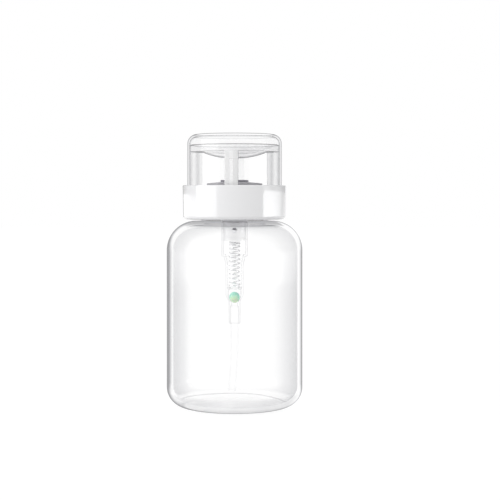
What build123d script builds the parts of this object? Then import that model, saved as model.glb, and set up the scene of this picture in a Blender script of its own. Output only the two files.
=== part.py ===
from build123d import *
import os
from math import atan2, cos, pi, sin, sqrt

# Push-down dispenser for nail polish remover: a clear bottle, a white screw collar, a small
# ball-valve pump hanging in the neck, and a dish on four legs that is pushed down to fill it.
# Lengths are in millimetres. +Z is up, and the origin is the centre of the foot.

os.makedirs("parts", exist_ok=True)

# Driving dimensions: bottle
bottle_width = 60.0
bottle_wall = 2.0
bottle_floor = 2.4
foot_corner = 8.5
foot_ring_width = 4.0
punt_depth = 1.4
shoulder_height = 81.8
shoulder_flat = 1.2
neck_diameter = 31.6
neck_wall = 2.0
neck_lip_round = 0.3
neck_inner_round = 1.0

# Driving dimensions: screw thread, a round bead on the neck and its twin in the cap
thread_pitch = 3.2
thread_turns = 1.1
thread_bead = 1.7
thread_bead_lift = 0.1
thread_margin = 0.79
thread_clearance = 0.5

# Driving dimensions: cap, collar and gasket
cap_skirt_wall = 1.8
cap_foot_gap = 0.75
cap_deck_thickness = 1.2
cap_hole_gap = 2.5
gasket_thickness = 0.7
gasket_width = 3.3
gasket_inset = 0.2
collar_rib_depth = 2.0
collar_rib_width = 1.2
collar_rib_count = 12
collar_ledge_thickness = 1.0
collar_wall = 1.95
collar_taper = 0.35
collar_foot_gap = 0.7
collar_foot_round = 1.4
collar_lip = 0.4
collar_lip_round = 0.4

# Driving dimensions: clear overcap
overcap_wall = 0.85
overcap_top = 1.0
overcap_corner = 4.0
overcap_head_room = 3.7

# Driving dimensions: pressed dish, its legs and its outlet
press_stroke = 4.0
press_clearance = 0.3
frame_ring_thickness = 1.2
leg_height = 16.4
leg_width = 6.0
leg_depth = 5.0
leg_edge_round = 0.6
leg_count = 4
dish_rim_height = 3.0
dish_rim_width = 1.35
dish_edge_round = 0.3
bowl_thickness = 1.8
bowl_bulge = 2.8
nozzle_diameter = 4.4
nozzle_height = 0.9
nozzle_hole = 0.8
nozzle_edge_round = 0.4
nozzle_spigot_length = 1.5
nozzle_seat_margin = 0.2
stem_wall = 0.9
stem_bore = 1.8

# Driving dimensions: pump housing
flange_thickness = 1.1
flange_inset = 0.6
housing_wall = 0.8
housing_edge_round = 0.3
housing_boss_height = 3.4
housing_boss_wall = 2.05
housing_step = 0.85
housing_taper_height = 3.6
lower_barrel_length = 13.65
ball_cone_height = 2.65
tail_wall = 0.67
tail_length = 9.8

# Driving dimensions: gland nut, drip shield and stem seal
gland_skirt_wall = 1.5
gland_skirt_gap = 0.7
gland_plate_thickness = 2.2
gland_boss_wall = 4.32
gland_boss_height = 2.65
gland_edge_round = 0.3
gland_sleeve_gap = 0.2
shield_width = 6.08
shield_rim_thickness = 1.15
shield_hub_thickness = 1.75
seal_cord = 1.0
seal_groove_room = 0.1

# Driving dimensions: piston, valves and spring
piston_diameter = 9.7
piston_length = 8.0
piston_depth = 8.2
piston_lip_height = 1.2
piston_lip_slope = 0.4
piston_waist_cut = 0.2
piston_stop_gap = 0.1
chamber_room = 3.0
discharge_ball_diameter = 2.4
discharge_seat_hole = 1.6
discharge_seat_depth = 3.4
discharge_ball_lift = 0.8
discharge_ball_room = 0.35
stem_foot_gap = 0.16
spring_seat_diameter = 6.8
spring_seat_thickness = 0.6
spring_seat_hole = 2.0
spring_hub_length = 1.0
spring_hub_gap = 0.35
spring_wire = 0.5
spring_diameter = 5.1
spring_open_turns = 9.5
spring_end_turns = 1.0
spring_end_gap = 0.45
spring_seating_gap = 0.02
spring_side_gap = 0.6
check_ball_diameter = 4.8
check_ball_lift = 1.2
check_seat_hole = 2.8
check_seat_drop = 1.0
ball_chamber_ledge = 0.2
cage_thickness = 0.7
cage_hole = 3.8
valve_gap = 0.1

# Driving dimensions: dip tube
dip_tube_diameter = 3.7
dip_tube_wall = 0.5
dip_tube_socket = 7.6
dip_tube_straight = 1.0
dip_tube_lean_x = -1.3
dip_tube_lean_y = 1.5
dip_tube_floor_gap = 2.5

# Fits: the gap left between two round faces
piston_fit = 0.1
running_fit = 0.05
push_fit = 0.03
overcap_fit = 0.2
slide_gap = 0.25
nest_gap = 0.05
gland_fit = 0.1

# How far a joined piece runs past the face that it meets, and the turn between the two threads
overrun = 0.5
thread_offset_angle = 180

# Radii of the head, worked from the neck outwards
neck_radius = neck_diameter / 2
neck_bore = neck_radius - neck_wall
bead_radius = thread_bead / 2
cap_bore = neck_radius + thread_bead_lift + bead_radius + thread_clearance
cap_radius = cap_bore + cap_skirt_wall
collar_bore = cap_radius + collar_rib_depth
collar_radius = collar_bore + collar_wall
overcap_radius = collar_bore - overcap_fit
overcap_bore = overcap_radius - overcap_wall
dish_radius = overcap_bore - slide_gap
leg_inner_radius = dish_radius - leg_depth
bottle_radius = bottle_width / 2
shoulder_corner = bottle_radius - neck_radius - shoulder_flat
foot_ring_inner = bottle_radius - foot_corner - foot_ring_width

# Radii of the pump, worked from the stem, the piston and the spring outwards
stem_radius = stem_bore / 2 + stem_wall
stem_socket = stem_radius + push_fit
piston_radius = piston_diameter / 2
chamber_radius = piston_radius + piston_fit
barrel_radius = chamber_radius + housing_wall
housing_boss_radius = chamber_radius + housing_boss_wall
flange_radius = neck_radius - flange_inset
lower_bore = spring_diameter / 2 + spring_side_gap
lower_radius = lower_bore + housing_wall
ball_bore = lower_bore - ball_chamber_ledge
dip_tube_radius = dip_tube_diameter / 2
tail_bore = dip_tube_radius + push_fit
tail_radius = tail_bore + tail_wall
gland_bore = stem_radius + running_fit
gland_sleeve_radius = chamber_radius - gland_sleeve_gap
gland_skirt_bore = housing_boss_radius + gland_fit
gland_radius = gland_skirt_bore + gland_skirt_wall
gland_boss_radius = gland_bore + gland_boss_wall
shield_bore = gland_boss_radius + nest_gap
shield_radius = shield_bore + shield_width
cap_deck_hole = housing_boss_radius + cap_hole_gap

# Heights of the head, worked from the shoulder up
thread_rise = thread_pitch * thread_turns
thread_foot = shoulder_height + thread_margin + bead_radius
neck_top = thread_foot + thread_rise + bead_radius + thread_margin
flange_foot = neck_top + gasket_thickness
deck_foot = flange_foot + flange_thickness
deck_top = deck_foot + cap_deck_thickness
frame_foot = deck_top + press_clearance + press_stroke
frame_ring_top = frame_foot + frame_ring_thickness
collar_foot = shoulder_height + collar_foot_gap
collar_top = frame_ring_top + collar_lip
dish_foot = frame_foot + leg_height
dish_top = dish_foot + dish_rim_height
overcap_ceiling = dish_top + overcap_head_room
overcap_crown = overcap_ceiling + overcap_top
housing_top = deck_top + housing_boss_height
gland_plate_top = housing_top + gland_plate_thickness
gland_top = gland_plate_top + gland_boss_height
bowl_foot = dish_foot - bowl_bulge
bowl_floor = bowl_foot + bowl_thickness

# Heights of the pump, worked from its flange down
piston_top = flange_foot - piston_depth
piston_foot = piston_top - piston_length
spring_top = piston_foot - spring_seat_thickness
step_height = piston_foot - press_stroke - chamber_room
taper_foot = step_height - housing_taper_height
lower_foot = taper_foot - lower_barrel_length
tail_top = lower_foot - ball_cone_height
tail_foot = tail_top - tail_length
dip_tube_top = tail_foot + dip_tube_socket

# Discharge valve: the small ball rests on the rim of the hole through the piston
discharge_ball_radius = discharge_ball_diameter / 2
discharge_seat_radius = discharge_seat_hole / 2
discharge_seat_height = piston_foot + discharge_seat_depth
discharge_ball_rise = sqrt(discharge_ball_radius**2 - discharge_seat_radius**2)
discharge_ball_height = discharge_seat_height + discharge_ball_rise + valve_gap
stem_foot = discharge_ball_height + discharge_ball_radius + discharge_ball_lift + stem_foot_gap

# Check valve: the green ball rests in a cone above the seat hole, under a cage that limits its lift
check_ball_radius = check_ball_diameter / 2
check_seat_radius = check_seat_hole / 2
check_seat_height = tail_top - check_seat_drop
check_cone_top = lower_foot - housing_wall * ball_cone_height / lower_radius
check_cone_slope = (ball_bore - check_seat_radius) / (check_cone_top - check_seat_height)
check_cone_angle = atan2(check_cone_slope, 1)
check_ball_rise = (check_ball_radius / cos(check_cone_angle) - check_seat_radius) / check_cone_slope
check_ball_height = check_seat_height + check_ball_rise + valve_gap
cage_foot = check_ball_height + check_ball_radius + check_ball_lift + valve_gap
cage_top = cage_foot + cage_thickness


# Bottle: a straight-sided jar with a domed base, round shoulders and a short threaded neck
with BuildPart() as bottle:
    with BuildSketch(Plane.XZ):
        with BuildLine():
            under_base = TangentArc((0, punt_depth), (foot_ring_inner, 0), tangent=(1, 0))
            FilletPolyline(
                (foot_ring_inner, 0),
                (bottle_radius, 0),
                (bottle_radius, shoulder_height),
                (neck_radius, shoulder_height),
                (neck_radius, neck_top),
                (neck_bore, neck_top),
                (neck_bore, shoulder_height - bottle_wall),
                (bottle_radius - bottle_wall, shoulder_height - bottle_wall),
                (bottle_radius - bottle_wall, bottle_floor),
                (foot_ring_inner, bottle_floor),
                radius=(
                    foot_corner,
                    shoulder_corner,
                    neck_lip_round,
                    neck_lip_round,
                    neck_lip_round,
                    neck_inner_round,
                    shoulder_corner - bottle_wall,
                    foot_corner - bottle_wall,
                ),
            )
            over_base = TangentArc(
                (0, bottle_floor + punt_depth), (foot_ring_inner, bottle_floor), tangent=(1, 0)
            )
            Line(under_base @ 0, over_base @ 0)
        make_face()
    revolve(axis=Axis.Z)
    with BuildLine():
        neck_helix = Helix(
            thread_pitch, thread_rise, neck_radius + thread_bead_lift, center=(0, 0, thread_foot)
        )
    with BuildSketch(Plane(neck_helix @ 0, z_dir=neck_helix % 0)):
        Circle(bead_radius)
    sweep(is_frenet=True)
bottle.part.label = "bottle"
export_step(bottle.part, "parts/bottle.step")


# Threaded cap: the skirt that screws on the neck, and the deck that holds the pump down
with BuildPart() as threaded_cap:
    with BuildSketch(Plane.XZ):
        with BuildLine():
            Polyline(
                (cap_bore, shoulder_height + cap_foot_gap),
                (cap_radius, shoulder_height + cap_foot_gap),
                (cap_radius, deck_foot),
                (collar_bore - nest_gap, deck_foot),
                (collar_bore - nest_gap, deck_top),
                (cap_deck_hole, deck_top),
                (cap_deck_hole, deck_foot),
                (cap_bore, deck_foot),
                close=True,
            )
        make_face()
    revolve(axis=Axis.Z)
    with BuildLine():
        cap_helix = Helix(
            thread_pitch,
            thread_rise,
            cap_bore - thread_bead_lift,
            center=(0, 0, thread_foot),
            mode=Mode.PRIVATE,
        ).rotate(Axis.Z, thread_offset_angle)
        add(cap_helix)
    with BuildSketch(Plane(cap_helix @ 0, z_dir=cap_helix % 0)):
        Circle(bead_radius)
    sweep(is_frenet=True)
threaded_cap.part.label = "threaded_cap"
export_step(threaded_cap.part, "parts/threaded_cap.step")


# Collar shell: the white outer ring, with a ledge under the deck and ribs that grip the skirt
with BuildPart() as collar_shell:
    with BuildSketch(Plane.XZ):
        with BuildLine():
            outside = FilletPolyline(
                (collar_bore, collar_foot),
                (collar_radius - collar_taper, collar_foot),
                (collar_radius, collar_top),
                (collar_bore, collar_top),
                (collar_bore, deck_foot),
                radius=(collar_foot_round, collar_lip_round, collar_lip_round),
            )
            Polyline(
                outside @ 1,
                (cap_radius + nest_gap, deck_foot),
                (cap_radius + nest_gap, deck_foot - collar_ledge_thickness),
                (collar_bore, deck_foot - collar_ledge_thickness),
                outside @ 0,
            )
        make_face()
    revolve(axis=Axis.Z)
    with BuildSketch(Plane.XY.offset(thread_foot)):
        with PolarLocations((cap_radius + nest_gap + collar_bore + overrun) / 2, collar_rib_count):
            Rectangle(collar_rib_depth - nest_gap + overrun, collar_rib_width)
    extrude(amount=deck_foot - collar_ledge_thickness - thread_foot)
collar_shell.part.label = "collar_shell"
export_step(collar_shell.part, "parts/collar_shell.step")


# Neck gasket: a flat ring between the rim of the neck and the pump's flange
with BuildPart() as neck_gasket:
    with BuildSketch(Plane.XY.offset(neck_top)):
        Circle(neck_radius - gasket_inset)
        Circle(neck_radius - gasket_inset - gasket_width, mode=Mode.SUBTRACT)
    extrude(amount=gasket_thickness)
neck_gasket.part.label = "neck_gasket"
export_step(neck_gasket.part, "parts/neck_gasket.step")


# Pump housing: flange, boss, wide barrel for the piston, narrow barrel for the spring, and tail
with BuildPart() as pump_housing:
    with BuildSketch(Plane.XZ):
        with BuildLine():
            outside = FilletPolyline(
                (chamber_radius, housing_top),
                (housing_boss_radius, housing_top),
                (housing_boss_radius, deck_foot),
                (flange_radius, deck_foot),
                (flange_radius, flange_foot),
                (barrel_radius, flange_foot),
                (barrel_radius, step_height),
                (barrel_radius - housing_step, step_height),
                (lower_radius, taper_foot),
                (lower_radius, lower_foot),
                (tail_radius, tail_top),
                (tail_radius, tail_foot),
                (tail_bore, tail_foot),
                radius=housing_edge_round,
            )
            Polyline(
                outside @ 1,
                (tail_bore, dip_tube_top),
                (check_seat_radius, dip_tube_top),
                (check_seat_radius, check_seat_height),
                (ball_bore, check_cone_top),
                (ball_bore, cage_foot),
                (lower_bore, cage_foot),
                (lower_bore, taper_foot),
                (chamber_radius - housing_step, step_height + housing_wall),
                (chamber_radius, step_height + housing_wall),
                outside @ 0,
            )
        make_face()
    revolve(axis=Axis.Z)
pump_housing.part.label = "pump_housing"
export_step(pump_housing.part, "parts/pump_housing.step")


# Gland nut: caps the housing's boss, guides the stem and stops the piston with its long sleeve
seal_height = housing_top + gland_plate_thickness / 2
seal_groove_radius = gland_bore + seal_cord + seal_groove_room
seal_groove_half = seal_cord / 2 + seal_groove_room
with BuildPart() as gland_nut:
    with BuildSketch(Plane.XZ):
        with BuildLine():
            outside = FilletPolyline(
                (gland_skirt_bore, housing_top),
                (gland_skirt_bore, deck_top + gland_skirt_gap),
                (gland_radius, deck_top + gland_skirt_gap),
                (gland_radius, gland_plate_top),
                (gland_boss_radius, gland_plate_top),
                (gland_boss_radius, gland_top),
                (gland_bore, gland_top),
                radius=(gland_edge_round, gland_edge_round, 0, 0, gland_edge_round),
            )
            Polyline(
                outside @ 1,
                (gland_bore, seal_height + seal_groove_half),
                (seal_groove_radius, seal_height + seal_groove_half),
                (seal_groove_radius, seal_height - seal_groove_half),
                (gland_bore, seal_height - seal_groove_half),
                (gland_bore, piston_top + piston_stop_gap),
                (gland_sleeve_radius, piston_top + piston_stop_gap),
                (gland_sleeve_radius, housing_top),
                outside @ 0,
            )
        make_face()
    revolve(axis=Axis.Z)
gland_nut.part.label = "gland_nut"
export_step(gland_nut.part, "parts/gland_nut.step")


# Stem seal: a rubber ring in the groove of the gland nut
with BuildPart() as stem_seal:
    with BuildSketch(Plane.XZ):
        with Locations((gland_bore + seal_cord / 2, seal_height)):
            Circle(seal_cord / 2)
    revolve(axis=Axis.Z)
stem_seal.part.label = "stem_seal"
export_step(stem_seal.part, "parts/stem_seal.step")


# Drip shield: a low grey cone that lies on the gland nut round its boss
with BuildPart() as drip_shield:
    with BuildSketch(Plane.XZ):
        with BuildLine():
            FilletPolyline(
                (shield_bore, gland_plate_top),
                (shield_radius, gland_plate_top),
                (shield_radius, gland_plate_top + shield_rim_thickness),
                (shield_bore, gland_plate_top + shield_hub_thickness),
                radius=(0, gland_edge_round, gland_edge_round, 0),
                close=True,
            )
        make_face()
    revolve(axis=Axis.Z)
drip_shield.part.label = "drip_shield"
export_step(drip_shield.part, "parts/drip_shield.step")


# Ball cage: a ring on the ledge over the check ball, which also carries the spring
with BuildPart() as ball_cage:
    with BuildSketch(Plane.XY.offset(cage_foot)):
        Circle(lower_bore - nest_gap)
        Circle(cage_hole / 2, mode=Mode.SUBTRACT)
    extrude(amount=cage_thickness)
ball_cage.part.label = "ball_cage"
export_step(ball_cage.part, "parts/ball_cage.step")


# Valve balls: the green check ball and the small discharge ball inside the piston
with BuildPart() as check_ball:
    with Locations((0, 0, check_ball_height)):
        Sphere(check_ball_radius)
check_ball.part.label = "check_ball"
export_step(check_ball.part, "parts/check_ball.step")

with BuildPart() as discharge_ball:
    with Locations((0, 0, discharge_ball_height)):
        Sphere(discharge_ball_radius)
discharge_ball.part.label = "discharge_ball"
export_step(discharge_ball.part, "parts/discharge_ball.step")


# Piston: two sealing lips with a waist between, a valve seat below and the stem's socket above
piston_waist = piston_radius - piston_waist_cut
discharge_chamber_radius = discharge_ball_radius + discharge_ball_room
with BuildPart() as piston:
    with BuildSketch(Plane.XZ):
        with BuildLine():
            Polyline(
                (discharge_seat_radius, piston_foot),
                (piston_radius, piston_foot),
                (piston_radius, piston_foot + piston_lip_height),
                (piston_waist, piston_foot + piston_lip_height + piston_lip_slope),
                (piston_waist, piston_top - piston_lip_height - piston_lip_slope),
                (piston_radius, piston_top - piston_lip_height),
                (piston_radius, piston_top),
                (stem_socket, piston_top),
                (stem_socket, stem_foot),
                (discharge_chamber_radius, stem_foot),
                (discharge_chamber_radius, discharge_seat_height),
                (discharge_seat_radius, discharge_seat_height),
                close=True,
            )
        make_face()
    revolve(axis=Axis.Z)
piston.part.label = "piston"
export_step(piston.part, "parts/piston.step")


# Stem: the hollow rod from the piston up into the floor of the dish
with BuildPart() as stem:
    with BuildSketch(Plane.XY.offset(stem_foot)):
        Circle(stem_radius)
        Circle(stem_bore / 2, mode=Mode.SUBTRACT)
    extrude(amount=bowl_floor - stem_foot)
stem.part.label = "stem"
export_step(stem.part, "parts/stem.step")


# Spring seat: a washer under the piston, with a short hub that centres the spring
spring_hub_radius = spring_diameter / 2 - spring_wire - spring_hub_gap
with BuildPart() as spring_seat:
    with BuildSketch(Plane.XY.offset(spring_top)):
        Circle(spring_seat_diameter / 2)
    extrude(amount=spring_seat_thickness)
    with BuildSketch(Plane.XY.offset(spring_top - spring_hub_length)):
        Circle(spring_hub_radius)
    extrude(amount=spring_hub_length)
    with BuildSketch(Plane.XY.offset(spring_top - spring_hub_length)):
        Circle(spring_seat_hole / 2)
    extrude(amount=spring_hub_length + spring_seat_thickness, mode=Mode.SUBTRACT)
spring_seat.part.label = "spring_seat"
export_step(spring_seat.part, "parts/spring_seat.step")


# Return spring: one wire, wound close at both ends and open between, from half-turn biarcs
coil_step = 0.5
coil_samples_per_turn = 24
coil_turns = spring_open_turns + 2 * spring_end_turns
coil_radius = (spring_diameter - spring_wire) / 2
coil_foot = cage_top + spring_seating_gap + spring_wire / 2
coil_rise = spring_top - spring_seating_gap - spring_wire / 2 - coil_foot
coil_end_pitch = spring_wire + spring_end_gap
coil_open_pitch = (coil_rise - 2 * spring_end_turns * coil_end_pitch) / spring_open_turns


def coil_height(turn):
    """Height of the middle of the wire after this many turns."""
    first = min(turn, spring_end_turns)
    last = max(turn - spring_end_turns - spring_open_turns, 0)
    return coil_foot + (first + last) * coil_end_pitch + (turn - first - last) * coil_open_pitch


def coil_point(turn):
    """Middle of the wire after this many turns."""
    angle = 2 * pi * turn
    return Vector(coil_radius * cos(angle), coil_radius * sin(angle), coil_height(turn))


def coil_heading(turn):
    """Direction of the wire after this many turns, its climb averaged over half a step each way."""
    before = max(turn - coil_step / 2, 0)
    after = min(turn + coil_step / 2, coil_turns)
    climb = (coil_height(after) - coil_height(before)) / (2 * pi * (after - before))
    angle = 2 * pi * turn
    return Vector(-coil_radius * sin(angle), coil_radius * cos(angle), climb).normalized()


def biarc_joint(start, start_heading, end, end_heading):
    """Point where two arcs meet that leave the start and reach the end in the given directions."""
    chord = end - start
    bend = 2 * (start_heading.dot(end_heading) - 1)
    reach = chord.dot(start_heading + end_heading)
    arm = (reach - sqrt(reach**2 - bend * chord.dot(chord))) / bend
    return (start + start_heading * arm + end - end_heading * arm) / 2


with BuildPart() as return_spring:
    with BuildLine() as coil:
        for step in range(round(coil_turns / coil_step)):
            turn = step * coil_step
            start = coil_point(turn)
            end = coil_point(turn + coil_step)
            joint = biarc_joint(start, coil_heading(turn), end, coil_heading(turn + coil_step))
            first_arc = TangentArc(start, joint, tangent=coil_heading(turn))
            TangentArc(joint, end, tangent=first_arc % 1)
    with BuildSketch(Plane(coil_point(0), z_dir=coil_heading(0))):
        Circle(spring_wire / 2)
    sweep()
return_spring.part.label = "return_spring"
export_step(return_spring.part, "parts/return_spring.step")

coil_wire = coil.wires()[0]
sample_count = round(coil_turns * coil_samples_per_turn)
samples = [coil_wire @ (index / sample_count) for index in range(sample_count + 1)]
gaps = []
for index, sample in enumerate(samples):
    for other in samples[index + coil_samples_per_turn // 2:]:
        gaps.append((other - sample).length - spring_wire)
print(f"return_spring: {coil_turns} turns, least gap to itself {min(gaps):.3f} mm")


# Leg frame: a ring inside the collar and four legs that carry the dish
with BuildPart() as leg_frame:
    with BuildSketch(Plane.XY.offset(frame_foot)):
        with PolarLocations((dish_radius + leg_inner_radius) / 2, leg_count):
            Rectangle(leg_depth + 2 * overrun, leg_width)
        Circle(dish_radius, mode=Mode.INTERSECT)
        Circle(leg_inner_radius, mode=Mode.SUBTRACT)
    extrude(amount=leg_height)
    fillet(edges().filter_by(Axis.Z), leg_edge_round)
    with BuildSketch(Plane.XY.offset(frame_foot)):
        Circle(dish_radius)
        Circle(leg_inner_radius, mode=Mode.SUBTRACT)
    extrude(amount=frame_ring_thickness)
leg_frame.part.label = "leg_frame"
export_step(leg_frame.part, "parts/leg_frame.step")


# Press dish: a shallow bowl in a thick clear rim
nozzle_seat_radius = nozzle_diameter / 2 + nozzle_seat_margin
with BuildPart() as press_dish:
    with BuildSketch(Plane.XZ):
        with BuildLine():
            bowl = TangentArc(
                (nozzle_seat_radius, bowl_floor), (dish_radius - dish_rim_width, dish_top), tangent=(1, 0)
            )
            FilletPolyline(
                bowl @ 1,
                (dish_radius, dish_top),
                (dish_radius, dish_foot),
                (leg_inner_radius, dish_foot),
                radius=dish_edge_round,
            )
            belly = TangentArc((stem_socket, bowl_foot), (leg_inner_radius, dish_foot), tangent=(1, 0))
            Polyline(bowl @ 0, (stem_socket, bowl_floor), belly @ 0)
        make_face()
    revolve(axis=Axis.Z)
press_dish.part.label = "press_dish"
export_step(press_dish.part, "parts/press_dish.step")


# Outlet nozzle: a button with a pinhole, plugged into the top of the stem
nozzle_spigot_radius = stem_bore / 2 - push_fit
with BuildPart() as outlet_nozzle:
    with BuildSketch(Plane.XZ):
        with BuildLine():
            outside = FilletPolyline(
                (nozzle_diameter / 2, bowl_floor),
                (nozzle_diameter / 2, bowl_floor + nozzle_height),
                (nozzle_hole / 2, bowl_floor + nozzle_height),
                radius=nozzle_edge_round,
            )
            Polyline(
                outside @ 1,
                (nozzle_hole / 2, bowl_floor - nozzle_spigot_length),
                (nozzle_spigot_radius, bowl_floor - nozzle_spigot_length),
                (nozzle_spigot_radius, bowl_floor),
                outside @ 0,
            )
        make_face()
    revolve(axis=Axis.Z)
outlet_nozzle.part.label = "outlet_nozzle"
export_step(outlet_nozzle.part, "parts/outlet_nozzle.step")


# Dip tube: pushed up into the tail, with the slight lean that it keeps from the roll
dip_tube_tip = (dip_tube_lean_x, dip_tube_lean_y, bottle_floor + punt_depth + dip_tube_floor_gap)
with BuildPart() as dip_tube:
    with BuildLine() as route:
        drop = Line((0, 0, dip_tube_top), (0, 0, tail_foot - dip_tube_straight))
        TangentArc(drop @ 1, dip_tube_tip, tangent=drop % 1)
    with BuildSketch(Plane(drop @ 0, z_dir=drop % 0)):
        Circle(dip_tube_radius)
        Circle(dip_tube_radius - dip_tube_wall, mode=Mode.SUBTRACT)
    sweep()
dip_tube.part.label = "dip_tube"
export_step(dip_tube.part, "parts/dip_tube.step")

tube_section = pi * (dip_tube_radius**2 - (dip_tube_radius - dip_tube_wall) ** 2)
tube_length = sum(edge.length for edge in route.edges())
tube_match = dip_tube.part.volume / (tube_section * tube_length)
print(f"dip_tube: length {tube_length:.2f} mm, volume over section times length {tube_match:.4f}")


# Overcap: the clear cover that stands on the deck inside the collar
with BuildPart() as overcap:
    with BuildSketch(Plane.XZ):
        with BuildLine():
            outside = FilletPolyline(
                (0, overcap_crown),
                (overcap_radius, overcap_crown),
                (overcap_radius, deck_top),
                radius=overcap_corner,
            )
            inside = FilletPolyline(
                (0, overcap_ceiling),
                (overcap_bore, overcap_ceiling),
                (overcap_bore, deck_top),
                radius=overcap_corner - overcap_wall,
            )
            Line(outside @ 0, inside @ 0)
            Line(outside @ 1, inside @ 1)
        make_face()
    revolve(axis=Axis.Z)
overcap.part.label = "overcap"
export_step(overcap.part, "parts/overcap.step")

print(f"overall: {2 * bottle_radius:.2f} mm wide, {overcap_crown:.2f} mm high")
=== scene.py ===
from math import cos, pi, radians, sin
import bpy
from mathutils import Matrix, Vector


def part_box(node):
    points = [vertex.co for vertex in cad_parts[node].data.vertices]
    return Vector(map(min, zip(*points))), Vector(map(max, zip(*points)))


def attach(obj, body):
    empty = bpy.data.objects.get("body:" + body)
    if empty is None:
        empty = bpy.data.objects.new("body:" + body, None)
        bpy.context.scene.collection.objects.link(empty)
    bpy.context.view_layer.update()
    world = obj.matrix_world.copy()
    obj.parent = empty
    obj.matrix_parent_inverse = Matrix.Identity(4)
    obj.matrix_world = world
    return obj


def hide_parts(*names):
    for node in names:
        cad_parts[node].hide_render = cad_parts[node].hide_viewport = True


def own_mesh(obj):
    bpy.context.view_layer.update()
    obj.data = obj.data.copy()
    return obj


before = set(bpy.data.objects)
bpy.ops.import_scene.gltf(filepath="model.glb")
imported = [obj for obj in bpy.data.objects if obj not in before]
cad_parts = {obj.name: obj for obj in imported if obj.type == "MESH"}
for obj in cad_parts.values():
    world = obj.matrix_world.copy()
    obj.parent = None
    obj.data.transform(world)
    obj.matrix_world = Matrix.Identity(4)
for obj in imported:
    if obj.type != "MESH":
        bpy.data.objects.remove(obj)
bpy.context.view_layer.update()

# Push-down dispenser bottle: the looks of the imported pieces, the return spring as a piece of the actuator,
# a white studio and the camera. Lengths are in metres.

millimetre = 0.001
hair = 0.1 * millimetre
white = (1.0, 1.0, 1.0, 1.0)


# Sizes read from the frame
bottle_low, bottle_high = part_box("bottle")
dish_low, dish_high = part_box("press_dish")
ball_low, ball_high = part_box("check_ball")
piston_low, piston_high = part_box("piston")
coil_low, coil_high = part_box("return_spring")
bottle_radius = bottle_high.x
dish_radius = dish_high.x
collar_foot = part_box("collar_shell")[0].z
frame_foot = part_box("leg_frame")[0].z
tail_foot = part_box("pump_housing")[0].z
boss_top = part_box("gland_nut")[1].z

# Sizes of the bottle's section that its clear plastic follows
foot_corner = 8.5 * millimetre
shoulder_corner = 13.0 * millimetre
shoulder_height = 81.8 * millimetre
neck_radius = 15.8 * millimetre
half_wall = 1.0 * millimetre
ceiling_height = shoulder_height - 2 * half_wall
punt_radius = 17.5 * millimetre
punt_depth = 1.4 * millimetre
barrel_wall = 0.9 * millimetre
pump_radius = piston_high.x + barrel_wall
mask_turn = 0.073
half_height = shoulder_height / 2
right_side_reach = bottle_radius / 2
front_foot_reach = (-bottle_radius / 6, -bottle_radius / 1.8)
barely_over_one = 1.0001

# Where the bottle's painted shade begins and ends, and how strong it is
# The outline's painted dark edge, painted darker on the left than on the right
outline_start = 8 * hair
outline_shift = 0.02
outline_side_shift = 0.055
shade_heights = (45 * millimetre, 68 * millimetre)
shade_above = 0.65
# Painted shade under the shoulder's plate, painted grey of the plate seen edge-on, and painted shadow on the
# neck under the collar
plate_shade_foot = (ceiling_height - 1.4 * millimetre, ceiling_height - hair)
plate_shade_top = (ceiling_height + 2 * hair, ceiling_height + hair)
plate_shade_strength = 0.13
plate_foot_heights = (ceiling_height - 3 * hair, ceiling_height + hair)
plate_top_heights = (shoulder_height - 7 * hair, shoulder_height - 3 * hair)
plate_rim_radii = (neck_radius - 4 * hair, neck_radius + hair)
ceiling_band = (ceiling_height - hair, ceiling_height + hair, hair / 2)
ceiling_grey = 0.68
neck_foot_heights = (shoulder_height - hair, shoulder_height + hair)
in_collar_heights = (shoulder_height + 7 * hair, shoulder_height + 10 * hair)
pump_edge_reach = (pump_radius - 5 * hair, pump_radius + 5 * hair)
# A painted shade line at the far edge of the floor inside, and painted patches of shade over the domed base
floor_line_outside = (23.5 * millimetre, 20.5 * millimetre)
floor_line_inside = (22.8 * millimetre, 16.5 * millimetre)
floor_line_bend = 0.017 / millimetre
floor_line_ends = (-6 * millimetre, 2 * millimetre)
floor_line_outer_edge = (1.02, 0.97)
floor_line_inner_edge = (0.97, 1.03)
floor_line_heights = (4.0 * millimetre, 3.5 * millimetre)
floor_line_strength = 0.20
painted_patch_size = 9 * millimetre
painted_patch_stretch = (1.0, 1.0, 3.0)
painted_patch_heights = (6.0 * millimetre, 2.5 * millimetre)
painted_patch_ends = (8 * millimetre, -4 * millimetre)
painted_patch_gap_share = 0.4
painted_patch_strength = 0.035
# Painted shade on the front foot: greyer beside the middle and on the right
foot_middle_x = 2.5 * millimetre
foot_beside_reach = (2 * millimetre, 15 * millimetre)
foot_right_reach = (5 * millimetre, 16 * millimetre)
foot_right_share = 0.95

# Sizes of the overcap, the dish and its legs, and the greys of painted shade that their clear plastic follows
crown_front_reach = 5 * millimetre
crown_back_share = 0.2
crown_edge_grey = 0.54
crown_grey = 0.99
bowl_middle_rise = 0.9 * millimetre
bowl_middle_curve = 0.0125 / millimetre
bowl_grey = 0.99
bowl_rim_height = dish_high.z - hair
dish_side_reach = 6 * millimetre
rim_line_heights = (dish_high.z - 0.42 * millimetre, dish_high.z - 0.27 * millimetre)
rim_line_radii = (dish_radius - 0.7 * millimetre, dish_radius - 0.5 * millimetre)
rim_front_reach = 4 * millimetre
leg_half_width = 3.0 * millimetre
leg_flank_start = leg_half_width - hair
leg_depth = 5.0 * millimetre
leg_inner_radius = dish_radius - leg_depth
leg_face_reach = (-leg_inner_radius - 2.5 * millimetre, -leg_inner_radius - 3.5 * millimetre)
leg_stripe_band = (boss_top + hair, dish_low.z - 6 * hair, 2 * hair)
leg_side_reach = 12 * millimetre
leg_left_rim_grey = 0.87
leg_back_share = 0.75
leg_right_share = 0.97
leg_haze = 0.02
leg_covered_haze = 0.97
frame_ring_height = 1.2 * millimetre
frame_ring_top = frame_foot + frame_ring_height
frame_ring_grey = 0.96
leg_foot_heights = (frame_ring_top, frame_ring_top + 2 * hair)

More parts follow.
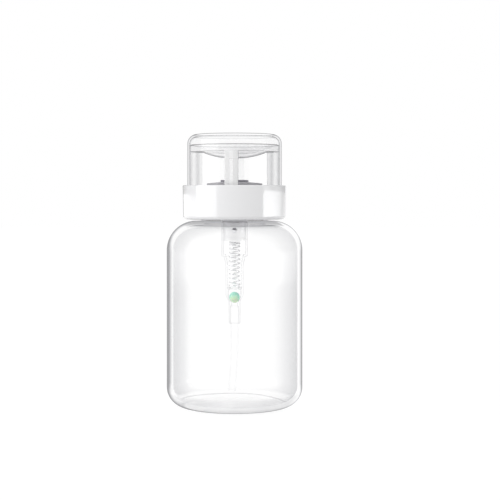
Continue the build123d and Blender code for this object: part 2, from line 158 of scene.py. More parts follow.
# Sizes and haze of the pump, its tube and its piston that their clear plastic follows
tail_radii = (3.2 * millimetre, 2.8 * millimetre)
thick_pump_heights = (ceiling_height + 1.1 * millimetre, ceiling_height + 1.5 * millimetre)
thick_pump_haze = 0.8
beside_piston_heights = (piston_low.z - 4 * hair, piston_low.z + 4 * hair)
held_tube_heights = (tail_foot - 2 * hair, tail_foot + 2 * hair)
thick_piston_heights = (piston_low.z + 2.0 * millimetre, piston_low.z + 3.6 * millimetre)
piston_cloud = 2 * millimetre
piston_cloud_haze = 0.06
piston_bore_radii = (piston_high.x - 1.0 * millimetre, piston_high.x - 2.0 * millimetre)
piston_bore_haze = 0.005

# Grain of the solid materials, the collar's fine painted shade line, and the green ball's painted glow and
# its subsurface depth
plastic_grain = 0.25 * millimetre
foam_grain = 0.4 * millimetre
steel_grain = 0.4 * millimetre
steel_coolness = 1.01
collar_line_rise = 1.25 * millimetre
collar_line_half = 0.15 * millimetre
collar_line_soft = 0.08 * millimetre
collar_line_share = 0.88
painted_light_rise = 0.8 * millimetre
glow_depth = 1.0 * millimetre

# Sizes of the return spring: one wire, wound close at both ends and open between
wire_radius = 0.25 * millimetre
wire_sides = 12
coil_radius = coil_high.x - wire_radius
coil_turns = 11.5
coil_end_turns = 1.0
coil_end_pitch = 0.95 * millimetre
coil_reach = 0.25
coil_rings_per_turn = 40


class Graph:
    """A shader's nodes, with a short call for each kind of node that is used here."""

    def __init__(self, owner, output="ShaderNodeOutputMaterial"):
        owner.use_nodes = True
        self.owner = owner
        self.tree = owner.node_tree
        self.tree.nodes.clear()
        self.output = self.tree.nodes.new(output)
        self.spot = self.node("ShaderNodeTexCoord").outputs["Object"]

    def node(self, kind, settings=None, **values):
        """Add a node. Settings are its properties, and values go to its inputs by name."""
        made = self.tree.nodes.new(kind)
        for key, value in (settings or {}).items():
            setattr(made, key, value)
        for key, value in values.items():
            self.fill(made.inputs[key.replace("_", " ")], value)
        return made

    def fill(self, socket, value):
        """Link a socket to an output, or set it to a plain value."""
        if isinstance(value, bpy.types.NodeSocket):
            self.tree.links.new(value, socket)
        else:
            socket.default_value = value

    def math(self, operation, *values):
        """One step of arithmetic."""
        made = self.node("ShaderNodeMath", {"operation": operation})
        for socket, value in zip(made.inputs, values):
            self.fill(socket, value)
        return made.outputs[0]

    def product(self, *values):
        """All the values multiplied."""
        result = values[0]
        for value in values[1:]:
            result = self.math("MULTIPLY", result, value)
        return result

    def length(self, one, other):
        """The length of two steps at right angles."""
        return self.math("SQRT", self.math("ADD", self.product(one, one), self.product(other, other)))

    def ramp(self, value, *stops):
        """A curve through (place, level) stops, each level a grey or a colour."""
        made = self.node("ShaderNodeValToRGB", Fac=value)
        elements = made.color_ramp.elements
        while len(elements) < len(stops):
            elements.new(1.0)
        for element, (place, level) in zip(elements, stops):
            element.position = place
            element.color = (*level, 1.0) if isinstance(level, tuple) else (level, level, level, 1.0)
        return made.outputs["Color"]

    def step(self, value, low, high):
        """0 below low, 1 above high, smooth between. Low may lie above high, which turns the step round."""
        made = self.node(
            "ShaderNodeMapRange",
            {"interpolation_type": "SMOOTHSTEP"},
            Value=value,
            From_Min=min(low, high),
            From_Max=max(low, high),
            To_Min=float(low > high),
            To_Max=float(low <= high),
        )
        return made.outputs["Result"]

    def band(self, value, low, high, soft):
        """1 between low and high, 0 outside, with soft edges."""
        return self.product(
            self.step(value, low - soft, low + soft), self.step(value, high + soft, high - soft)
        )

    def mix(self, amount, one, other):
        """One where amount is 0, the other where it is 1."""
        made = self.node("ShaderNodeMix", {"data_type": "FLOAT"})
        for index, value in ((0, amount), (2, one), (3, other)):
            self.fill(made.inputs[index], value)
        return made.outputs[0]

    def along(self, axis):
        """Where a point is on the piece along X, Y or Z. Z is its height."""
        return self.node("ShaderNodeSeparateXYZ", Vector=self.spot).outputs[axis]

    def from_axis(self):
        """How far a point is from the upright axis."""
        return self.length(self.along("X"), self.along("Y"))

    def facing(self):
        """0 where a surface faces the viewer, 1 where it is seen edge-on."""
        return self.node("ShaderNodeLayerWeight", Blend=0.5).outputs["Facing"]

    def flatness(self):
        """0 on an upright wall, 1 on a level face."""
        normal = self.node("ShaderNodeNewGeometry").outputs["Normal"]
        return self.math("ABSOLUTE", self.node("ShaderNodeSeparateXYZ", Vector=normal).outputs["Z"])

    def noise(self, size, detail=2.0, stretch=None):
        """Soft noise whose patches are about this size."""
        spot = self.spot
        if stretch:
            spot = self.node("ShaderNodeMapping", Vector=spot, Scale=stretch).outputs[0]
        return self.node("ShaderNodeTexNoise", Vector=spot, Scale=1 / size, Detail=detail).outputs["Fac"]

    def uneven(self, middle, spread, size):
        """A value that wanders round its middle by this share, in patches of this size."""
        return self.node(
            "ShaderNodeMapRange",
            Value=self.noise(size),
            To_Min=middle * (1 - spread),
            To_Max=middle * (1 + spread),
        ).outputs["Result"]

    def bump(self, height, strength, distance):
        """Small relief for a shader's normal."""
        return self.node(
            "ShaderNodeBump", Height=height, Strength=strength, Distance=distance
        ).outputs["Normal"]

    def blend(self, amount, one, other):
        """A shader between two others."""
        made = self.node("ShaderNodeMixShader", Fac=amount)
        self.fill(made.inputs[1], one)
        self.fill(made.inputs[2], other)
        return made.outputs[0]

    def finish(self, shader):
        """Close the graph with this shader."""
        self.fill(self.output.inputs["Surface"], shader)
        return self.owner


def material_graph(name):
    """The graph of a new material."""
    return Graph(bpy.data.materials.new(name))


def dress(material, *nodes):
    """Give CAD nodes this material."""
    for name in nodes:
        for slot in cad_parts[name].material_slots:
            slot.material = material


# Clear plastic: light goes straight through, with painted shade where the wall is seen edge-on, and a
# mirror's gloss


def clear_plastic(graph, painted_shade_tint, haze, gloss, milk_colour=(0.90, 0.90, 0.92, 1.0)):
    """A clear wall. The tint is the light that passes and carries painted shade, a little cooler where it is
    greyer.
    Haze is the share of milky plastic, and gloss the mirror's share."""
    cool_tint = graph.ramp(painted_shade_tint, (0.0, 0.0), (0.6, (0.6, 0.6, 0.61)), (0.9, (0.9, 0.9, 0.905)), (1.0, 1.0))
    through = graph.node("ShaderNodeBsdfTransparent", Color=cool_tint).outputs[0]
    milk = graph.node("ShaderNodeBsdfPrincipled", Base_Color=milk_colour, Roughness=0.35).outputs[0]
    mirror = graph.node("ShaderNodeBsdfAnisotropic", Color=white, Roughness=0.04).outputs[0]
    return graph.finish(graph.blend(gloss, graph.blend(haze, through, milk), mirror))


def edge_gloss(graph, head_on, edge):
    """The mirror's share of a clear wall, from head-on to its edge."""
    return graph.ramp(graph.facing(), (0.0, head_on), (0.6, head_on), (1.0, edge))


class BottleWall(Graph):
    """The graph of the bottle's wall, which knows where on the bottle's section a point lies."""

    def __init__(self):
        super().__init__(bpy.data.materials.new("clear_bottle_wall"))
        self.x = self.along("X")
        self.y = self.along("Y")
        self.height = self.along("Z")
        self.away = self.from_axis()
        self.edge_on = self.facing()
        self.level = self.flatness()
        self.right = self.step(self.x, 0.0, right_side_reach)
        self.front_foot = self.step(self.y, *front_foot_reach)
        self.upper = self.math("GREATER_THAN", self.height, half_height)
        self.corner = self.mix(self.upper, foot_corner, shoulder_corner)
        self.past_corner = self.math("SUBTRACT", self.math("ADD", self.away, self.corner), bottle_radius)
        self.outer = self.outer_skin()

    def outer_skin(self):
        """1 on the wall's outer skin and 0 on its inner one, told from the corners and the domed base."""
        dome_share = self.math("SUBTRACT", 1.0, self.product(self.away, self.away, 1 / punt_radius**2))
        dome = self.product(self.math("MAXIMUM", dome_share, 0.0), punt_depth)
        drop = self.math("ADD", self.math("SUBTRACT", foot_corner, self.height), dome)
        rise = self.math("SUBTRACT", self.height, shoulder_height - shoulder_corner)
        upright = self.math("MAXIMUM", self.math("MAXIMUM", drop, rise), 0.0)
        reach = self.length(self.math("MAXIMUM", self.past_corner, 0.0), upright)
        return self.math("GREATER_THAN", reach, self.math("SUBTRACT", self.corner, half_wall))

    def outline(self):
        """Painted shade on the outer skin: dark at the outline, and painted darker on the left than on the
        right.
        """
        front_floor = self.product(self.front_foot, self.step(self.level, 0.80, 0.92))
        slope_shift = self.product(
            self.ramp(self.level, (0.0, 0.0), (0.5, 0.12), (0.8, 0.14), (0.988, 0.14), (1.0, 0.20)),
            self.mix(front_floor, 1.0, 0.0),
        )
        side_shift = self.math("MULTIPLY", self.x, outline_side_shift / bottle_radius)
        shift = self.math("ADD", side_shift, outline_shift)
        dark = self.ramp(
            self.math("SUBTRACT", self.math("SUBTRACT", self.edge_on, slope_shift), shift),
            (0.62, 1.0), (0.66, 0.92), (0.71, 0.79), (0.77, 0.61), (0.87, 0.58), (1.0, 0.62),
        )
        return self.mix(self.step(self.past_corner, 0.0, outline_start), 1.0, dark)

    def shade(self):
        """Painted shade on the inner skin: soft greys at its left and right, and one under the shoulder's
        plate.
        """
        left = self.ramp(
            self.edge_on,
            (0.20, 0.0), (0.30, 0.02), (0.40, 0.08), (0.50, 0.112),
            (0.58, 0.132), (0.70, 0.15), (0.76, 0.08), (0.81, 0.0),
        )
        right = self.ramp(
            self.edge_on,
            (0.15, 0.0), (0.24, 0.022), (0.315, 0.048), (0.41, 0.085), (0.54, 0.12),
            (0.65, 0.146), (0.755, 0.17), (0.86, 0.15), (0.93, 0.0),
        )
        high_share = self.mix(self.step(self.height, *shade_heights), 1.0, shade_above)
        back_foot_share = self.step(self.level, 0.95, 0.75)
        front_foot_share = self.step(self.level, 0.5, 0.2)
        foot_share = self.mix(self.front_foot, back_foot_share, front_foot_share)
        not_floor = self.mix(self.upper, foot_share, 1.0)
        sides = self.product(self.mix(self.right, left, right), high_share, not_floor)
        under_plate = self.product(
            self.step(self.height, *plate_shade_foot),
            self.step(self.height, *plate_shade_top),
            plate_shade_strength,
        )
        return self.math("SUBTRACT", self.math("SUBTRACT", 1.0, sides), under_plate)

    def with_plate_and_neck_shade(self, wall_painted_shade):
        """The wall's painted shade, with painted grey of the solid plate in the shoulder and painted shadow
        on the neck under the collar.
        """
        level_squared = self.product(self.level, self.level)
        upright = self.math("SQRT", self.math("SUBTRACT", barely_over_one, level_squared))
        head_on = self.math("DIVIDE", self.math("SUBTRACT", 1.0, self.edge_on), upright)
        plate = self.product(
            self.step(self.height, *plate_foot_heights),
            self.step(head_on, 0.38, 0.50),
            self.step(self.away, *plate_rim_radii),
            self.outer,
        )
        plate_top = self.step(self.height, *plate_top_heights)
        ceiling = self.product(self.band(self.height, *ceiling_band), self.step(self.level, 0.98, 0.99))
        neck = self.step(self.height, *neck_foot_heights)
        in_collar = self.step(self.height, *in_collar_heights)
        neck_painted_shadow = self.mix(self.math("MAXIMUM", self.beside_pump(), in_collar), 0.97, 0.73)
        plate_painted_shade = self.mix(plate_top, 0.73, 0.62)
        shoulder_painted_shade = self.mix(ceiling, self.mix(plate, wall_painted_shade, plate_painted_shade), ceiling_grey)
        return self.mix(neck, shoulder_painted_shade, neck_painted_shadow)

    def beside_pump(self):
        """0 on the parts of the neck before, behind and beside the pump, 1 between them."""
        turned_x = self.math("ADD", self.x, self.product(self.y, mask_turn))
        turned_y = self.math("SUBTRACT", self.y, self.product(self.x, mask_turn))
        across = self.math("MINIMUM", self.math("ABSOLUTE", turned_x), self.math("ABSOLUTE", turned_y))
        return self.step(across, *pump_edge_reach)

    def floor_line(self):
        """1 on a thin crescent at the far edge of the floor inside, where a painted shade line goes, which
        bends forwards on the right.
        """
        right_x = self.math("MAXIMUM", self.x, 0.0)
        line_y = self.math("ADD", self.y, self.product(right_x, right_x, floor_line_bend))
        outer_reach, inner_reach = (
            self.length(self.product(self.x, 1 / width), self.product(line_y, 1 / depth))
            for width, depth in (floor_line_outside, floor_line_inside)
        )
        return self.product(
            self.step(outer_reach, *floor_line_outer_edge),
            self.step(inner_reach, *floor_line_inner_edge),
            self.step(self.height, *floor_line_heights),
            self.math("SUBTRACT", 1.0, self.outer),
            self.step(line_y, *floor_line_ends),
        )

    def floor(self):
        """Painted shade on the floor inside: its thin dark line, and soft grey patches over the domed base.
        """
        patches = self.step(self.noise(painted_patch_size, detail=1.0, stretch=painted_patch_stretch), 0.42, 0.60)
        patch_shade = self.product(
            self.mix(patches, painted_patch_gap_share, 1.0),
            self.step(self.height, *painted_patch_heights),
            self.step(self.y, *painted_patch_ends),
        )
        line_grey = self.product(self.floor_line(), floor_line_strength)
        grey = self.math("ADD", line_grey, self.product(patch_shade, painted_patch_strength))
        return self.math("SUBTRACT", 1.0, grey)

    def foot(self):
        """Painted shade on the front foot's outer skin: greyer low down, beside the middle and on the right.
        """
        rise = self.math("DIVIDE", self.height, foot_corner)
        middle = self.ramp(
            rise,
            (0.09, 0.76), (0.18, 0.78), (0.25, 0.85), (0.32, 0.90), (0.42, 0.91),
            (0.54, 0.92), (0.64, 0.925), (0.73, 0.925), (0.84, 0.945), (0.96, 1.0),
        )
        beside = self.ramp(
            rise,
            (0.09, 0.76), (0.18, 0.78), (0.25, 0.85), (0.32, 0.88), (0.42, 0.87),
            (0.54, 0.87), (0.64, 0.865), (0.73, 0.88), (0.80, 0.95), (0.86, 1.0),
        )
        from_middle = self.math("ABSOLUTE", self.math("SUBTRACT", self.x, foot_middle_x))
        grey = self.mix(self.step(from_middle, *foot_beside_reach), middle, beside)
        right = self.product(self.step(self.x, *foot_right_reach), self.step(grey, 1.0, 0.92))
        sided = self.product(grey, self.mix(right, 1.0, foot_right_share))
        foot_wall = self.product(self.front_foot, self.outer, self.step(self.level, 0.985, 0.96))
        return self.mix(foot_wall, 1.0, self.mix(self.upper, sided, 1.0))


def bottle_plastic():
    """Thick clear bottle with painted shade: dark outer edges, a bright line, soft shade inside, grey where
    solid.
    """
    wall = BottleWall()
    wall_painted_shade = wall.mix(wall.outer, wall.shade(), wall.outline())
    painted_shade_tint = wall.product(wall.with_plate_and_neck_shade(wall_painted_shade), wall.floor(), wall.foot())
    return clear_plastic(wall, painted_shade_tint, haze=0.004, gloss=edge_gloss(wall, head_on=0.008, edge=0.05))


def cover_plastic():
    """Thin overcap: clear all over, with a painted shade line where the wall is seen edge-on, darkest on the
    crown's front.
    """
    graph = material_graph("clear_cover_wall")
    flatness = graph.flatness()
    wall = graph.ramp(graph.facing(), (0.0, 1.0), (0.70, 0.995), (0.82, 0.87), (0.92, 0.60), (1.0, 0.45))
    back = graph.step(graph.along("Y"), -crown_front_reach, crown_front_reach)
    front_share = graph.mix(back, 1.0, crown_back_share)
    crown_edge = graph.product(graph.step(flatness, 0.86, 0.96), front_share)
    edged = graph.product(wall, graph.mix(crown_edge, 1.0, crown_edge_grey))
    painted_shade_tint = graph.mix(graph.step(flatness, 0.9990, 0.9999), edged, crown_grey)
    return clear_plastic(graph, painted_shade_tint, haze=0.008, gloss=edge_gloss(graph, head_on=0.015, edge=0.05))


def dish_plastic():
    """Thick dish and rim with painted shade: grey, darker lines at its edges, and a clear bowl inside."""
    graph = material_graph("clear_dish_wall")
    height = graph.along("Z")
    away = graph.from_axis()
    facing = graph.facing()
    curve = graph.product(graph.product(away, away), bowl_middle_curve)
    inside = graph.math("GREATER_THAN", height, graph.math("ADD", curve, dish_low.z + bowl_middle_rise))
    top = graph.math("GREATER_THAN", height, bowl_rim_height)
    side = graph.ramp(facing, (0.0, 1.0), (0.70, 0.99), (0.86, 0.93), (0.94, 0.78), (1.0, 0.62))
    belly = graph.ramp(facing, (0.0, 1.0), (0.76, 0.97), (0.84, 0.74), (0.92, 0.46), (1.0, 0.40))
    below_painted_shade = graph.mix(graph.step(graph.flatness(), 0.5, 0.8), side, belly)
    bowl = graph.product(inside, graph.math("SUBTRACT", 1.0, top))
    body_painted_shade = graph.mix(bowl, below_painted_shade, bowl_grey)
    # Painted shade: greyer on the dish's right, and a painted dark line at the rim's top, darkest at the
    # front
    right = graph.step(graph.along("X"), -dish_side_reach, dish_side_reach)
    side_painted_shade = graph.mix(right, 0.985, 0.945)
    rim_line = graph.product(graph.step(height, *rim_line_heights), graph.step(away, *rim_line_radii))
    back = graph.step(graph.along("Y"), -rim_front_reach, rim_front_reach)
    rim_line_painted_shade = graph.mix(back, 0.42, 0.80)
    painted_shade_tint = graph.product(body_painted_shade, side_painted_shade, graph.mix(rim_line, 1.0, rim_line_painted_shade))
    return clear_plastic(graph, painted_shade_tint, haze=0.02, gloss=edge_gloss(graph, head_on=0.02, edge=0.08))


def leg_plastic():
    """Solid clear legs: painted grey stripes beside bright ones, standing in for how a solid bar bends what
    is behind it.
    """
    graph = material_graph("clear_leg_bar")
    x = graph.along("X")
    y = graph.along("Y")
    height = graph.along("Z")
    span_x = graph.math("ABSOLUTE", x)
    span_y = graph.math("ABSOLUTE", y)
    across = graph.math("MINIMUM", span_x, span_y)
    outward = graph.math("MAXIMUM", span_x, span_y)
    flank = graph.math("GREATER_THAN", across, leg_flank_start)
    across_share = graph.math("DIVIDE", across, leg_half_width)
    depth = graph.math("DIVIDE", graph.math("SUBTRACT", outward, leg_inner_radius), leg_depth)
    on_leg = graph.step(height, *leg_foot_heights)

    # Painted shade on a leg's faces and flanks, paler at the back and greyer on the right
    face_painted_shade = graph.ramp(across_share, (0.0, 1.0), (0.20, 1.0), (0.34, 0.89), (0.85, 0.89), (1.0, 0.93))
    flank_painted_shade = graph.ramp(
        depth,
        (0.0, 0.97), (0.15, 0.93), (0.34, 0.83), (0.46, 0.90),
        (0.60, 0.99), (0.72, 0.99), (0.84, 0.93), (0.93, 0.78),
    )
    left_rim = graph.product(graph.step(depth, 0.84, 0.93), graph.step(x, 0.0, -leg_half_width))
    bar = graph.mix(flank, face_painted_shade, graph.mix(left_rim, flank_painted_shade, leg_left_rim_grey))
    back = graph.product(graph.step(y, 0.0, leg_side_reach), leg_back_share)
    right = graph.step(x, 0.0, leg_side_reach)
    sided = graph.product(graph.mix(back, bar, 1.0), graph.mix(right, 1.0, leg_right_share))
    painted_shade_tint = graph.mix(on_leg, frame_ring_grey, sided)

    # The milky stripes of the front leg, a painted highlight down its middle and painted grey beside it,
    # which is even where the dish and the boss lie behind it
    front = graph.step(y, *leg_face_reach)
    front_face = graph.product(front, graph.math("SUBTRACT", 1.0, flank), on_leg)
    stripe_haze = graph.ramp(across_share, (0.0, 0.05), (0.20, 0.05), (0.34, 0.84))
    middle = graph.band(height, *leg_stripe_band)
    haze = graph.mix(front_face, leg_haze, graph.mix(middle, leg_covered_haze, stripe_haze))
    milk = graph.ramp(across_share, (0.0, 0.99), (0.20, 0.99), (0.34, 0.89))
    return clear_plastic(graph, painted_shade_tint, haze, edge_gloss(graph, head_on=0.02, edge=0.08), milk_colour=milk)


def pump_plastic():
    """Thin natural plastic of the pump: nearly clear with painted pale grey edges, milky where its top is
    thick.
    """
    graph = material_graph("clear_pump_wall")
    height = graph.along("Z")
    facing = graph.facing()
    barrel = graph.ramp(
        facing, (0.0, 1.0), (0.60, 0.99), (0.70, 0.95), (0.80, 0.90), (0.92, 0.80), (1.0, 0.72)
    )
    tail = graph.ramp(
        facing, (0.0, 1.0), (0.45, 0.99), (0.60, 0.92), (0.75, 0.83), (0.90, 0.72), (1.0, 0.65)
    )
    painted_shade_tint = graph.mix(graph.step(graph.from_axis(), *tail_radii), barrel, tail)
    thick = graph.step(height, *thick_pump_heights)
    beside_piston = graph.step(height, *beside_piston_heights)
    thin_haze = graph.mix(beside_piston, 0.006, 0.06)
    haze = graph.mix(thick, thin_haze, thick_pump_haze)
    return clear_plastic(graph, painted_shade_tint, haze, edge_gloss(graph, head_on=0.01, edge=0.03))


def tube_plastic():
    """Thin dip tube: a faint painted shade line at each edge, lost where the tube is pushed into the pump's
    tail.
    """
    graph = material_graph("clear_dip_tube")
    edges = graph.ramp(graph.facing(), (0.0, 1.0), (0.60, 0.985), (0.80, 0.92), (1.0, 0.82))
    held = graph.step(graph.along("Z"), *held_tube_heights)
    painted_shade_tint = graph.mix(held, edges, 1.0)
    return clear_plastic(graph, painted_shade_tint, haze=0.004, gloss=edge_gloss(graph, head_on=0.01, edge=0.02))


def stem_plastic():
    """Clear rod inside the dish's legs: a little painted grey at its edges."""
    graph = material_graph("clear_stem_rod")
    painted_shade_tint = graph.ramp(graph.facing(), (0.0, 1.0), (0.70, 0.995), (1.0, 0.96))
    return clear_plastic(graph, painted_shade_tint, haze=0.01, gloss=edge_gloss(graph, head_on=0.01, edge=0.03))


def piston_plastic():
    """Natural plastic of the piston: pale grey with a little painted grey at its edges, and soft clouds in
    its outer skin.
    """
    graph = material_graph("pale_piston_natural")
    painted_shade_tint = graph.ramp(graph.facing(), (0.0, 0.99), (0.60, 0.985), (1.0, 0.97))
    thick = graph.step(graph.along("Z"), *thick_piston_heights)
    clouds = graph.product(graph.noise(piston_cloud), piston_cloud_haze)
    skin_haze = graph.math("ADD", graph.mix(thick, 0.07, 0.02), clouds)
    bore = graph.step(graph.from_axis(), *piston_bore_radii)
    haze = graph.mix(bore, skin_haze, piston_bore_haze)
    gloss = edge_gloss(graph, head_on=0.01, edge=0.03)
    return clear_plastic(graph, painted_shade_tint, haze, gloss, milk_colour=(0.96, 0.96, 0.97, 1.0))


# Solid plastics, rubber, foam, steel and the green ball


def moulded_plastic(name, colour, roughness, coat=0.0, grain=plastic_grain, relief=0.02, line_height=None):
    """Moulded plastic with a faint grain, slightly uneven gloss, and a fine painted shade line at
    line_height.
    """
    graph = material_graph(name)
    base_colour = (*colour, 1.0)
    # A fine painted shade line, darker by collar_line_share
    if line_height:
        line_foot = line_height - collar_line_half
        line_top = line_height + collar_line_half
        line = graph.band(graph.along("Z"), line_foot, line_top, collar_line_soft)
        line_colour = tuple(part * collar_line_share for part in colour)
        base_colour = graph.ramp(line, (0.0, colour), (1.0, line_colour))
    shader = graph.node(
        "ShaderNodeBsdfPrincipled",
        Base_Color=base_colour,
        Roughness=graph.uneven(roughness, spread=0.15, size=12 * grain),
        Coat_Weight=coat,
        Coat_Roughness=0.03,
        Normal=graph.bump(graph.noise(grain), strength=relief, distance=grain / 10),
    )
    return graph.finish(shader.outputs[0])


def steel(name, level, roughness):
    """Bright drawn or polished steel."""
    graph = material_graph(name)
    shader = graph.node(
        "ShaderNodeBsdfPrincipled",
        Base_Color=(level, level, level * steel_coolness, 1.0),
        Metallic=1.0,
        Roughness=graph.uneven(roughness, spread=0.3, size=steel_grain),
    )
    return graph.finish(shader.outputs[0])


def green_glass():
    """Green ball: mint on top, yellow-green where a painted pool of light gathers at its foot."""
    graph = material_graph("green_glass_ball")
    painted_light_point = (0.0, -ball_high.x, ball_low.z + painted_light_rise)
    from_glow = graph.node("ShaderNodeVectorMath", {"operation": "DISTANCE"})
    graph.fill(from_glow.inputs[0], graph.spot)
    graph.fill(from_glow.inputs[1], painted_light_point)
    colour = graph.ramp(
        graph.math("DIVIDE", from_glow.outputs["Value"], ball_high.z - ball_low.z),
        (0.0, (0.80, 1.0, 0.66)),
        (0.40, (0.70, 1.0, 0.68)),
        (0.62, (0.52, 1.0, 0.76)),
        (0.90, (0.47, 0.94, 0.82)),
    )
    shader = graph.node(
        "ShaderNodeBsdfPrincipled",
        Base_Color=colour,
        Roughness=0.12,
        Subsurface_Weight=0.3,
        Subsurface_Radius=(0.3, 1.0, 0.5),
        Subsurface_Scale=glow_depth,
        Specular_IOR_Level=0.25,
    )
    return graph.finish(shader.outputs[0])


dress(bottle_plastic(), "bottle")
dress(cover_plastic(), "overcap")
dress(dish_plastic(), "press_dish", "outlet_nozzle")
dress(leg_plastic(), "leg_frame")
dress(pump_plastic(), "pump_housing", "ball_cage")
dress(tube_plastic(), "dip_tube")
dress(stem_plastic(), "stem")
dress(piston_plastic(), "piston", "spring_seat")
collar_gloss = moulded_plastic(
    "white_collar_gloss",
    colour=(0.89, 0.89, 0.90),
    roughness=0.18,
    coat=1.0,
    line_height=collar_foot + collar_line_rise,
)
dress(collar_gloss, "collar_shell")
dress(moulded_plastic("white_cap_satin", colour=(0.84, 0.84, 0.85), roughness=0.4), "threaded_cap")
dress(moulded_plastic("grey_nut_satin", colour=(0.25, 0.24, 0.28), roughness=0.45), "gland_nut")
dress(moulded_plastic("grey_shield_satin", colour=(0.38, 0.37, 0.40), roughness=0.4), "drip_shield")
gasket_foam = moulded_plastic(
    "gasket_foam",
    colour=(0.80, 0.80, 0.79),
    roughness=0.8,
    grain=foam_grain,
    relief=0.2,
)
dress(gasket_foam, "neck_gasket")
dress(moulded_plastic("seal_rubber", colour=(0.02, 0.02, 0.02), roughness=0.6), "stem_seal")
dress(steel("ball_steel_polished", level=0.98, roughness=0.08), "discharge_ball")
dress(green_glass(), "check_ball")


# Return spring: the imported coil again, as a piece attached to the actuator's body


def coil_height(turn):
    """Height of the middle of the wire after this many turns."""
    foot = coil_low.z + wire_radius
    rise = coil_high.z - wire_radius - foot
    open_turns = coil_turns - 2 * coil_end_turns
    open_pitch = (rise - 2 * coil_end_turns * coil_end_pitch) / open_turns
    first = min(turn, coil_end_turns)
    last = max(turn - coil_end_turns - open_turns, 0)
    return foot + (first + last) * coil_end_pitch + (turn - first - last) * open_pitch


def wire_ring(turn):
    """Corners of the wire's section after this many turns, its climb averaged over coil_reach each way."""
    before = max(turn - coil_reach, 0)
    after = min(turn + coil_reach, coil_turns)
    climb = (coil_height(after) - coil_height(before)) / (2 * pi * (after - before))
    angle = 2 * pi * turn
    outwards = Vector((cos(angle), sin(angle), 0))
    heading = Vector((-coil_radius * sin(angle), coil_radius * cos(angle), climb)).normalized()
    downwards = heading.cross(outwards)
    centre = outwards * coil_radius + Vector((0, 0, coil_height(turn)))
    corners = []
    for side in range(wire_sides):
        around = 2 * pi * side / wire_sides
        corners.append(centre + (outwards * cos(around) + downwards * sin(around)) * wire_radius)
    return corners


def return_spring():
    """The spring as one wire with flat ends."""
    rings = round(coil_turns * coil_rings_per_turn)
    corners = []
    for ring in range(rings + 1):
        corners += wire_ring(ring / coil_rings_per_turn)
    faces = []
    for ring in range(rings):
        for side in range(wire_sides):
            here = ring * wire_sides + side
            beside = ring * wire_sides + (side + 1) % wire_sides
            faces.append((here, beside, beside + wire_sides, here + wire_sides))
    smooth = [True] * len(faces)
    faces.append(tuple(reversed(range(wire_sides))))
    faces.append(tuple(range(rings * wire_sides, (rings + 1) * wire_sides)))
    smooth += [False, False]
    mesh = bpy.data.meshes.new("return_spring_wire")
    mesh.from_pydata(corners, [], faces)
    mesh.polygons.foreach_set("use_smooth", smooth)
    mesh.materials.append(steel("spring_steel_wire", level=0.90, roughness=0.28))
    spring = bpy.data.objects.new("return_spring_wire", mesh)
    bpy.context.scene.collection.objects.link(spring)
    return spring


spring = return_spring()
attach(spring, "actuator")
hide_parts("return_spring")
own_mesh(spring)


# Studio: a white floor and backdrop that keep the object's shadow, and soft light

floor_half = 3.0
floor_white = (0.9, 0.9, 0.9, 1.0)
floor_glow = 1.09
floor_glow_share = 0.82
sky_light = 0.75
sky_seen = 1.0
light_aim = Vector((0, 0, 70 * millimetre))
key_distance = 0.8
key_size = (0.8, 0.6)
top_distance = 1.0
top_size = (0.8, 0.8)
card_distance = 0.8
card_step = 8
card_feet = (0.0, 0.0)
card_tops = (0.5, 0.5)
flag_tops = (0.6, 0.6)
low_left_tops = (0.066, 0.086)
left_flag_feet = (0.066, 0.088)
right_flag_feet = (0.069, 0.086)
right_cards = ("low_right_card", "fading_right_card", "dim_right_card")
right_turns = (70, 94, 134, 154)
right_tops = (0.0658, 0.0705, 0.081, 0.086)
right_levels = ((5.0, 5.0), (4.7, 0.9), (0.9, 1.0))


def seen_directly(graph):
    """1 for what the camera, a mirror or clear plastic shows, 0 for the light given to other surfaces."""
    path = graph.node("ShaderNodeLightPath").outputs
    seen = graph.math("MAXIMUM", path["Is Camera Ray"], path["Is Glossy Ray"])
    return graph.math("MAXIMUM", seen, path["Is Transmission Ray"])


def studio_floor():
    """A wide white floor that looks evenly lit and takes the object's shadow."""
    bpy.ops.mesh.primitive_plane_add(size=2 * floor_half, location=(0, 0, bottle_low.z))
    floor = bpy.context.object
    floor.name = "studio_floor"
    graph = material_graph("studio_floor_white")
    paper = graph.node("ShaderNodeBsdfDiffuse", Color=floor_white).outputs[0]
    glow = graph.node("ShaderNodeEmission", Color=white, Strength=floor_glow).outputs[0]
    glow_share = graph.product(seen_directly(graph), floor_glow_share)
    floor.data.materials.append(graph.finish(graph.blend(glow_share, paper, glow)))


def studio_sky():
    """An even white all round."""
    world = bpy.data.worlds.new("studio_white")
    bpy.context.scene.world = world
    graph = Graph(world, "ShaderNodeOutputWorld")
    strength = graph.mix(seen_directly(graph), sky_light, sky_seen)
    graph.finish(graph.node("ShaderNodeBackground", Color=white, Strength=strength).outputs[0])


def softbox(name, azimuth, elevation, distance, size, power):
    """A large soft lamp that looks at light_aim. Azimuth turns from the front to the right."""
    lamp = bpy.data.lights.new(name, "AREA")
    lamp.shape = "RECTANGLE"
    lamp.size, lamp.size_y = size
    lamp.energy = power
    turn = radians(azimuth)
    rise = radians(elevation)
    direction = Vector((sin(turn) * cos(rise), -cos(turn) * cos(rise), sin(rise)))
    placed = bpy.data.objects.new(name, lamp)
    placed.location = light_aim + direction * distance
    placed.rotation_euler = direction.to_track_quat("Z", "Y").to_euler()
    bpy.context.scene.collection.objects.link(placed)


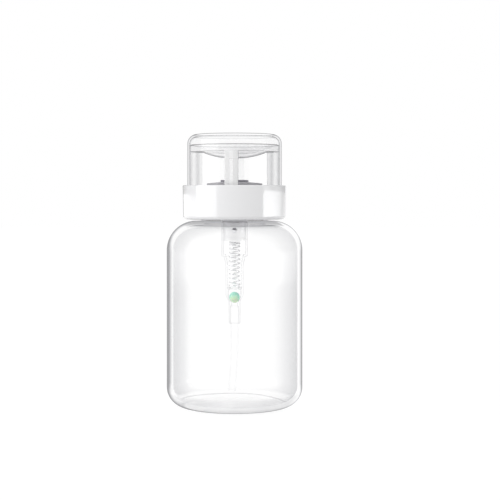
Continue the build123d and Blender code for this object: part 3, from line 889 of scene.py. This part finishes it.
def card_board(name, turns, lows, highs):
    """The card's board, an upright strip bent round the object."""
    steps = max(2, round(abs(turns[1] - turns[0]) / card_step))
    corners = []
    for step in range(steps + 1):
        share = step / steps
        turn = radians(turns[0] + share * (turns[1] - turns[0]))
        for heights in (lows, highs):
            height = heights[0] + share * (heights[1] - heights[0])
            corners.append((card_distance * sin(turn), -card_distance * cos(turn), height))
    faces = [(2 * step, 2 * step + 2, 2 * step + 3, 2 * step + 1) for step in range(steps)]
    mesh = bpy.data.meshes.new(name)
    mesh.from_pydata(corners, [], faces)
    board = bpy.data.objects.new(name, mesh)
    bpy.context.scene.collection.objects.link(board)
    return board


def card_light(name, turns, levels):
    """The card's light, from its level at one end to that at the other."""
    graph = material_graph(name)
    low_turn, high_turn = sorted(turns)
    turned = graph.math("ARCTAN2", graph.along("X"), graph.product(graph.along("Y"), -1.0))
    from_low = graph.math("SUBTRACT", turned, radians(low_turn))
    share = graph.math("DIVIDE", from_low, radians(high_turn - low_turn))
    strength = graph.mix(share, levels[turns.index(low_turn)], levels[turns.index(high_turn)])
    return graph.finish(graph.node("ShaderNodeEmission", Color=white, Strength=strength).outputs[0])


def card(name, turns, levels, lows=card_feet, highs=card_tops):
    """A board that only glossy surfaces see: a white card, or a black flag at level 0. Turns are its two
    ends' azimuths, levels its light there, and lows and highs the heights of its foot and top there."""
    board = card_board(name, turns, lows, highs)
    board.data.materials.append(card_light(name + "_board", turns, levels))
    board.visible_camera = False
    board.visible_diffuse = False
    board.visible_transmission = False
    board.visible_shadow = False


studio_floor()
studio_sky()
softbox("key_softbox", azimuth=-65, elevation=22, distance=key_distance, size=key_size, power=2.0)
softbox("top_softbox", azimuth=0, elevation=85, distance=top_distance, size=top_size, power=1.0)
card("left_card", turns=(-35.5, -88), levels=(2.6, 2.6))
card("low_left_card", turns=(-88, -148), levels=(1.9, 1.5), highs=low_left_tops)
card("left_flag", turns=(-88, -154), levels=(0.0, 0.3), lows=left_flag_feet, highs=flag_tops)
card("back_left_flag", turns=(-154, -179), levels=(0.5, 0.5), highs=flag_tops)
for index, name in enumerate(right_cards):
    ends = slice(index, index + 2)
    card(name, turns=right_turns[ends], levels=right_levels[index], highs=right_tops[ends])
card("right_flag", turns=(87, 154), levels=(0.05, 0.3), lows=right_flag_feet, highs=flag_tops)


# Camera: level, at the height where the photograph's horizon lies

camera_distance = 560 * millimetre
camera_height = 93.2 * millimetre
camera_azimuth = radians(4.2)
camera_sensor = 36.0
camera_lens = 91.0
camera_shift_x = 0.0309
camera_shift_y = -0.11
camera_nearest = 10 * millimetre
camera = bpy.data.objects.new("camera", bpy.data.cameras.new("camera"))
bpy.context.scene.collection.objects.link(camera)
camera.location = (
    camera_distance * sin(camera_azimuth),
    -camera_distance * cos(camera_azimuth),
    camera_height,
)
camera.rotation_euler = (pi / 2, 0, camera_azimuth)
camera.data.sensor_width = camera_sensor
camera.data.lens = camera_lens
camera.data.shift_x = camera_shift_x
camera.data.shift_y = camera_shift_y
camera.data.clip_start = camera_nearest
bpy.context.scene.camera = camera

clear_walls_in_line = 40
bpy.context.scene.view_settings.view_transform = "Standard"
bpy.context.scene.cycles.transparent_max_bounces = clear_walls_in_line
